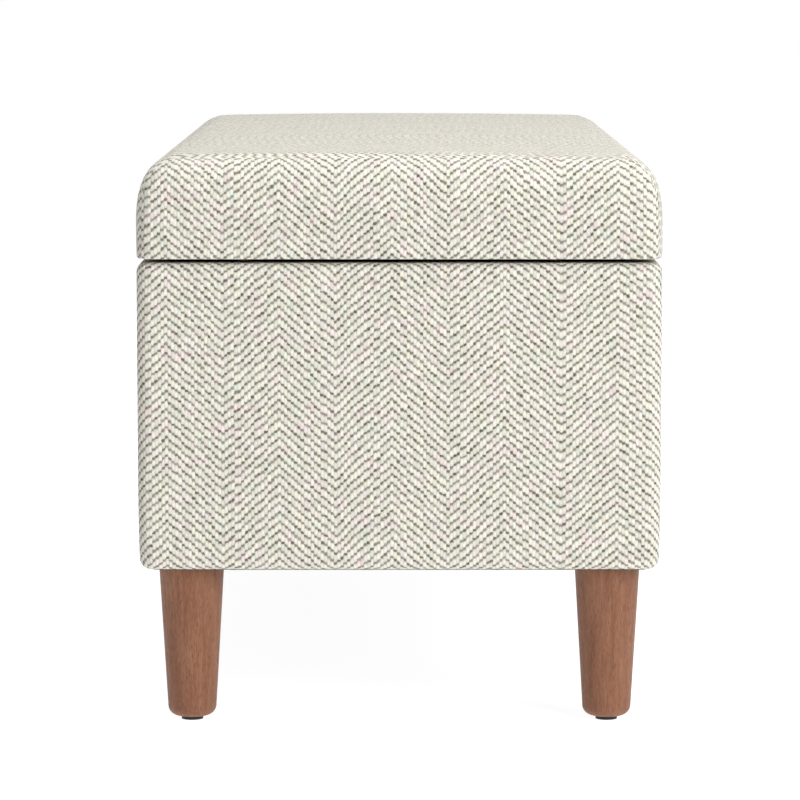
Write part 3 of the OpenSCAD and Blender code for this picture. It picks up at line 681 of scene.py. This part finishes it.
class Cushion:
    """Rings round the lid's edge and a grid over the top, inside the first ring."""

    def __init__(self, profile, shrink=0.0):
        self.profile = profile
        self.loop = Loop(HALF_L - shrink, HALF_W - shrink, LID_CORNER_R - shrink, LID_STEP, CORNER_STEPS)
        self.columns = len(self.loop)
        self.rows = len(profile)
        self.starts = [k for k, s in enumerate(self.loop.stations) if s[1:] == ("arc_in", 0.0)]
        self.verts = []
        for row, (inset, z) in enumerate(profile):
            # Over the roll the corners open out as the outline draws in
            over = row <= ROLL_STEPS
            radius = self.loop.radius + (CORNER_OPENING if over else -1.0) * inset
            for station in self.loop.stations:
                self.verts.append([*self.loop.point(station, inset, max(radius, LEAST_R)), z])

    def edges(self, row):
        """Indices of one ring along its front and back from +X to -X, and its ends from -Y to +Y."""
        base, first = row * self.columns, self.starts
        n_end, n_long = first[1] - first[0], first[2] - first[1]

        def at(k):
            return base + k % self.columns
        front = [at(first[1] + i) for i in range(n_long + 1)]
        back = [at(first[0] - i) for i in range(n_long + 1)]
        right = [at(first[1] - j) for j in range(n_end + 1)]
        left = [at(first[2] + j) for j in range(n_end + 1)]
        return front, back, right, left

    def grid(self, row):
        """Fills a ring with a grid and returns its faces, seen from above."""
        front, back, right, left = self.edges(row)
        n_long, n_end = len(front) - 1, len(right) - 1
        index = {}
        for i in range(n_long + 1):
            index[i, 0], index[i, n_end] = front[i], back[i]
        for j in range(n_end + 1):
            index[0, j], index[n_long, j] = right[j], left[j]
        place = [np.array(v) for v in self.verts]
        for i in range(1, n_long):
            for j in range(1, n_end):
                a, b = i / n_long, j / n_end
                spot = ((1 - b) * place[front[i]] + b * place[back[i]]
                        + (1 - a) * place[right[j]] + a * place[left[j]]
                        - (1 - a) * (1 - b) * place[front[0]] - a * (1 - b) * place[front[-1]]
                        - (1 - a) * b * place[back[0]] - a * b * place[back[-1]])
                index[i, j] = len(self.verts)
                self.verts.append(list(spot))
        return [(index[i, j], index[i, j + 1], index[i + 1, j + 1], index[i + 1, j])
                for i in range(n_long) for j in range(n_end)]

    def crowned(self, lowest):
        """The vertices with the top raised to a low crown, fading out down the roll."""
        verts = np.array(self.verts)
        along = np.clip(1 - (verts[:, 0] / HALF_L) ** 2, 0, 1)
        across = np.clip(1 - (verts[:, 1] / HALF_W) ** 2, 0, 1)
        share = np.clip((verts[:, 2] - lowest) / (self.profile[0][1] - lowest), 0, 1)
        verts[:, 2] += share * across * (CROWN_W + CROWN_L * along)
        return verts


def make_lid_upholstery(material):
    """The cushion's cloth: a strip over the top and long sides, and a cap at each end.

    The caps are sewn to the strip near the top of the roll and down the upright corners.
    """
    profile = roll_profile()
    hem_row = len(profile) - 1
    low = float(LID_LOW[2])
    profile += [(inset, low) for inset in spaced(HEM_W + 3 * MM, LID_TURN_UNDER, 6 * MM)]
    profile.append((LID_TURN_UNDER, low))
    cushion = Cushion(profile)
    columns, rows = cushion.columns, len(profile)
    down = lengths(profile)
    faces = cushion.grid(0)
    verts = np.array(cushion.verts)
    uvs = [weave_at(verts[q][0], verts[q][1]) for quad in faces for q in quad]

    seam = set()
    for row, k, face in ring_faces(rows, columns):
        faces.append(face)
        side = cushion.loop.stations[k][0]
        sign = (1, -1, -1, 1)[side]
        for q in face:
            level = q // columns
            start = verts[q % columns]
            if side in (1, 3):
                uvs.append(weave_at(start[0], start[1] + sign * down[level]))
            elif row < SEAM_ROW:
                uvs.append(weave_at(start[0] + sign * down[level], start[1]))
            else:
                uvs.append(weave_at(-sign * verts[q][1], down[-1] - down[level]))
        if side in (0, 2) and row == SEAM_ROW:
            seam.update(face[:2])
    for corner in cushion.starts:
        seam.update(row * columns + corner for row in range(SEAM_ROW, hem_row))

    verts = cushion.crowned(profile[0][1] - CROWN_FADE)
    made = piece_from("lid_upholstery", verts, faces, uvs, material)
    under = [row for row in range(rows) if profile[row][1] < low + LID_LOW_R / 2]
    turned = [row * columns + k for row in under for k in range(columns)]
    pins = made.vertex_groups.new(name="pins")
    pins.add(turned, 1.0, "REPLACE")
    pins.add(sorted(seam), SEAM_HOLD, "REPLACE")
    return made, sorted(seam)


def make_lid_foam(material):
    """The foam under the lid's cloth, with a lip down round the edge of the board."""
    shrink = FABRIC_T + FOAM_GAP
    _, board_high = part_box("lid_board")
    lip = HALF_L - shrink - float(board_high[0])
    profile = roll_profile(shrink)
    bottom = profile[-1][1]
    profile += [(lip, bottom), (lip, (bottom + float(board_high[2])) / 2), (lip, float(board_high[2]))]
    cushion = Cushion(profile, shrink)
    faces = cushion.grid(0) + [quad[::-1] for quad in cushion.grid(len(profile) - 1)]
    faces += [face for _, _, face in ring_faces(len(profile), cushion.columns)]
    verts = cushion.crowned(profile[0][1] - CROWN_FADE)
    return piece_from("lid_foam_pad", verts, faces, [(0.0, 0.0)] * 4 * len(faces), material)


def puff(piece, cap, swell):
    """Inflates the cloth between its pins and keeps the move within the cap."""
    rest = np.array([v.co for v in piece.data.vertices])
    last_step = 20
    cloth = piece.modifiers.new("cloth", "CLOTH")
    settings = cloth.settings
    settings.quality = 6
    settings.mass = 0.35
    settings.tension_stiffness = 25
    settings.compression_stiffness = 25
    settings.shear_stiffness = 12
    settings.bending_stiffness = 2.0
    settings.use_pressure = True
    settings.uniform_pressure_force = swell
    settings.vertex_group_mass = "pins"
    settings.effector_weights.gravity = 0.0
    cloth.collision_settings.use_collision = False
    scene = bpy.context.scene
    for step in range(1, last_step + 1):
        scene.frame_set(step)
    apply_modifiers(piece)
    moved = np.array([v.co for v in piece.data.vertices]) - rest
    far = np.linalg.norm(moved, axis=1, keepdims=True)
    kept = rest + moved * np.where(far > 0, cap * np.tanh(far / cap) / np.maximum(far, 1e-9), 0.0)
    piece.data.vertices.foreach_set("co", kept.reshape(-1))
    piece.data.update()
    scene.frame_set(1)
    return piece


def sink_seam(piece, seam):
    """Draws the cloth in along its seams."""
    mesh = piece.data
    normals = np.array([v.normal for v in mesh.vertices])
    places = np.array([v.co for v in mesh.vertices])
    places[seam] -= normals[seam] * SEAM_DEPTH
    mesh.vertices.foreach_set("co", places.reshape(-1))
    mesh.update()


# ---------------------------------------------------------------- the object

cloth = herringbone_cloth()
body_upholstery = make_body_upholstery(cloth)
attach(body_upholstery, "box")
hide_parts("body_cover")

lid_upholstery, lid_seam = make_lid_upholstery(cloth)
puff(lid_upholstery, cap=1.0 * MM, swell=3.0)
sink_seam(lid_upholstery, lid_seam)
thicken(lid_upholstery)
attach(lid_upholstery, "lid")
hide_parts("lid_cover")

foam_finish = foam()
lid_foam = make_lid_foam(foam_finish)
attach(lid_foam, "lid")
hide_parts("lid_foam")

finishes = {
    "leg_wood": leg_wood(),
    "padding": grained("wadding", (rgb(222, 222, 218), rgb(246, 246, 243)), 0.95, 0.5 * MM, 0.3 * MM),
    "foam": foam_finish,
    "lining": lining_cloth(),
    "dust_cloth": spun_bond(),
    "panel_board": chip_board(),
    "plywood": plywood(),
    "rail_wood": grained("sawn_softwood", (rgb(206, 172, 122), rgb(230, 202, 156)), 0.7, 2.5 * MM,
                         0.15 * MM, stretch=(0.15, 1, 1)),
    "glide_nylon": grained("glide_nylon", (rgb(14, 14, 14), rgb(28, 28, 28)), 0.5, 0.4 * MM, 0.03 * MM),
    "fastener_steel": grained("fastener_zinc", (rgb(188, 184, 168), rgb(210, 206, 192)), 0.32, 0.8 * MM,
                              0.02 * MM, metallic=1.0),
    "hinge_steel": zinc_steel(),
    "bracket_steel": powder_coat(),
    "tube_paint": tube_paint(),
    "rod_chrome": rod_chrome(),
    "socket_plastic": grained("socket_nylon", (rgb(24, 24, 25), rgb(40, 40, 41)), 0.45, 0.3 * MM,
                              0.04 * MM),
    "bumper_rubber": grained("bumper_rubber", (rgb(20, 20, 20), rgb(34, 34, 33)), 0.8, 0.25 * MM, 0.05 * MM),
    "upholstery": cloth,
}
for row in frame["record"]["subparts"]:
    node = frame["nodes"][row["node"]]
    node.data.materials.clear()
    node.data.materials.append(finishes[row["material_slot"]])

# ---------------------------------------------------------------- floor, light and camera

def make_floor():
    """A wide, pale, matt floor."""
    mesh = bpy.data.meshes.new("floor")
    reach = 400.0
    mesh.from_pydata([(-reach, -reach, 0), (reach, -reach, 0), (reach, reach, 0), (-reach, reach, 0)], [],
                     [(0, 1, 2, 3)])
    floor = bpy.data.objects.new("floor", mesh)
    bpy.context.scene.collection.objects.link(floor)
    s = Shader("pale_floor")
    tone = s.noise(s.position(), 3.0, 2.0)
    colour = s.ramp(tone, [(0.3, (0.40, 0.40, 0.40, 1)), (0.7, (0.42, 0.42, 0.42, 1))])
    mesh.materials.append(s.finish(colour, 0.9, Specular_IOR_Level=0.1, Emission_Color=(1, 1, 1, 1),
                                   Emission_Strength=0.93))


def make_light(name, place, aim, size, power):
    """A square soft box."""
    data = bpy.data.lights.new(name, "AREA")
    data.shape = "SQUARE"
    data.size = size
    data.energy = power
    light = bpy.data.objects.new(name, data)
    bpy.context.scene.collection.objects.link(light)
    light.location = place
    light.rotation_euler = (Vector(aim) - Vector(place)).to_track_quat("-Z", "Y").to_euler()


def make_world(high, horizon):
    """A dim studio above, with a pale band round the horizon behind the floor."""
    world = bpy.data.worlds.new("studio")
    world.use_nodes = True
    tree = world.node_tree
    band_low = 0.08
    band_high = 0.22
    direction = tree.nodes.new("ShaderNodeTexCoord").outputs["Generated"]
    split = tree.nodes.new("ShaderNodeSeparateXYZ")
    tree.links.new(direction, split.inputs[0])
    fade = tree.nodes.new("ShaderNodeMapRange")
    fade.interpolation_type = "SMOOTHSTEP"
    for socket, number in zip(list(fade.inputs)[1:5], (band_low, band_high, horizon, high)):
        socket.default_value = number
    tree.links.new(split.outputs[2], fade.inputs[0])
    tree.links.new(fade.outputs[0], tree.nodes["Background"].inputs["Strength"])
    tree.nodes["Background"].inputs["Color"].default_value = (1, 1, 1, 1)
    bpy.context.scene.world = world


def make_camera():
    """A long lens, low in front of the right-hand end and tilted down a little."""
    end_face = float(cad_box[1][0])
    distance = 3.107
    height = 0.590
    tilt = 6.13
    aside = 0.0005
    data = bpy.data.cameras.new("camera")
    data.sensor_width = 36.0
    data.lens = 182.25
    data.clip_end = 1000.0
    camera = bpy.data.objects.new("camera", data)
    bpy.context.scene.collection.objects.link(camera)
    camera.location = (end_face + distance, aside, height)
    camera.rotation_euler = (math.radians(90 - tilt), 0.0, math.radians(90))
    bpy.context.scene.camera = camera


make_floor()
make_world(high=0.15, horizon=0.3)
aim = (0.1, 0.0, 0.25)
make_light("key", (3.2, 2.6, 2.2), aim, 2.2, 135)
make_light("overhead", (0.2, 0.3, 3.2), aim, 2.6, 100)
make_camera()
bpy.context.scene.view_settings.view_transform = "Standard"
